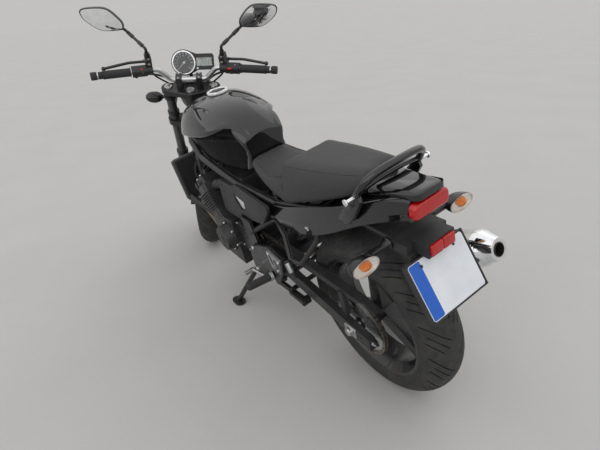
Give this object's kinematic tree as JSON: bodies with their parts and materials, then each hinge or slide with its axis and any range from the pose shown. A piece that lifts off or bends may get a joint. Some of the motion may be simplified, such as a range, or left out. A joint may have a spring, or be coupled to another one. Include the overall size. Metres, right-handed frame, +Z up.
{
  "type": "standard motorcycle",
  "caption": "Upright standard motorcycle with a transverse four, fork, swingarm, round dial and long silencer, parked on its side stand with the bars turned to the right.",
  "frame": {"origin": "bottom centre of the whole machine as it stands on its side stand", "axes": "+X forward along the machine, +Y to the rider's left, +Z up from the road"},
  "size_m": [2.0771, 0.799, 1.3002],
  "materials": {
    "bar_silver": "satin",
    "black_paint": "high gloss",
    "black_plastic": "matte",
    "brake_hose": "satin",
    "bright_steel": "brushed",
    "cast_aluminium": "cast",
    "chain_steel": "oiled",
    "clear_lens": "clear",
    "core_black": "painted",
    "disc_steel": "ground",
    "engine_black": "satin",
    "fork_chrome": "polished",
    "frame_black": "satin",
    "gloss_black_plastic": "gloss",
    "grip_rubber": "matte",
    "mirror": "polished",
    "plate_white": "gloss",
    "red_lens": "gloss",
    "seat_vinyl": "grained",
    "stainless": "brushed",
    "tyre": "matte",
    "wheel_black": "gloss"
  },
  "bodies": {
    "chassis": {"main_frame": "frame_black", "engine_block": "engine_black", "engine_top": "engine_black", "sprocket_cover": "engine_black", "airbox": "black_plastic", "radiator": "core_black", "exhaust_headers": "stainless", "silencer": "stainless", "fuel_tank": "black_paint", "seat": "seat_vinyl", "side_panels": "black_plastic", "tail_cowl": "black_paint", "tail_lamp": "red_lens", "grab_rail": "gloss_black_plastic", "rear_mudguard": "black_plastic", "number_plate": "plate_white", "rear_indicators": "gloss_black_plastic", "rear_indicator_lenses": "clear_lens", "swingarm": "frame_black", "rear_axle": "bright_steel", "pivot_bolt": "bright_steel", "drive_chain": "chain_steel", "engine_sprocket": "bright_steel", "chain_guard": "black_plastic", "rear_shock": "frame_black", "rear_caliper": "frame_black", "footrest_hangers": "frame_black", "heel_guards": "cast_aluminium", "footrests": "grip_rubber", "foot_levers": "bright_steel"},
    "steering": {"front_axle": "bright_steel", "fork_tubes": "fork_chrome", "fork_sliders": "bar_silver", "front_calipers": "frame_black", "lower_yoke": "frame_black", "top_yoke": "frame_black", "handlebar": "bar_silver", "grips": "grip_rubber", "switchgear": "black_plastic", "levers": "frame_black", "control_cables": "brake_hose", "mirrors": "gloss_black_plastic", "mirror_glass": "mirror", "instruments": "black_plastic", "headlight": "black_paint", "headlight_lens": "clear_lens", "lamp_brackets": "frame_black", "front_indicators": "gloss_black_plastic", "front_guard": "black_paint"},
    "front_wheel": {"front_tyre": "tyre", "front_rim": "wheel_black", "front_discs": "disc_steel"},
    "rear_wheel": {"rear_tyre": "tyre", "rear_rim": "wheel_black", "rear_disc": "disc_steel", "rear_sprocket": "bright_steel"},
    "fuel_cap": {"fuel_cap": "cast_aluminium"},
    "side_stand": {"side_stand": "frame_black"},
    "centre_stand": {"centre_stand": "frame_black"}
  },
  "joints": [
    {"name": "steering_head", "type": "hinge", "parent": "chassis", "child": "steering", "pos_m": [0.47883, -0.01559, 0.82955], "axis": [-0.4272, 0.1726, 0.8875], "range_deg": [0, 62]},
    {"name": "front_wheel_spin", "type": "hinge", "parent": "steering", "child": "front_wheel", "pos_m": [0.76551, -0.13537, 0.29968], "axis": [0.4659, 0.8833, 0.0524], "continuous": true},
    {"name": "rear_wheel_spin", "type": "hinge", "parent": "chassis", "child": "rear_wheel", "pos_m": [-0.70039, -0.11662, 0.30796], "axis": [0.0003, 0.9816, -0.1908], "continuous": true},
    {"name": "fuel_cap_hinge", "type": "hinge", "parent": "chassis", "child": "fuel_cap", "pos_m": [0.1726, 0.01008, 0.96111], "axis": [0.0003, 0.9816, -0.1908], "range_deg": [0, 80]},
    {"name": "side_stand_fold", "type": "hinge", "parent": "chassis", "child": "side_stand", "pos_m": [-0.04523, 0.00751, 0.20335], "axis": [0.1836, 0.8823, 0.4333], "range_deg": [0, 106.21]},
    {"name": "centre_stand_fold", "type": "hinge", "parent": "chassis", "child": "centre_stand", "pos_m": [-0.16524, -0.13513, 0.21357], "axis": [-0.0003, -0.9816, 0.1908], "range_deg": [0, 112]}
  ]
}
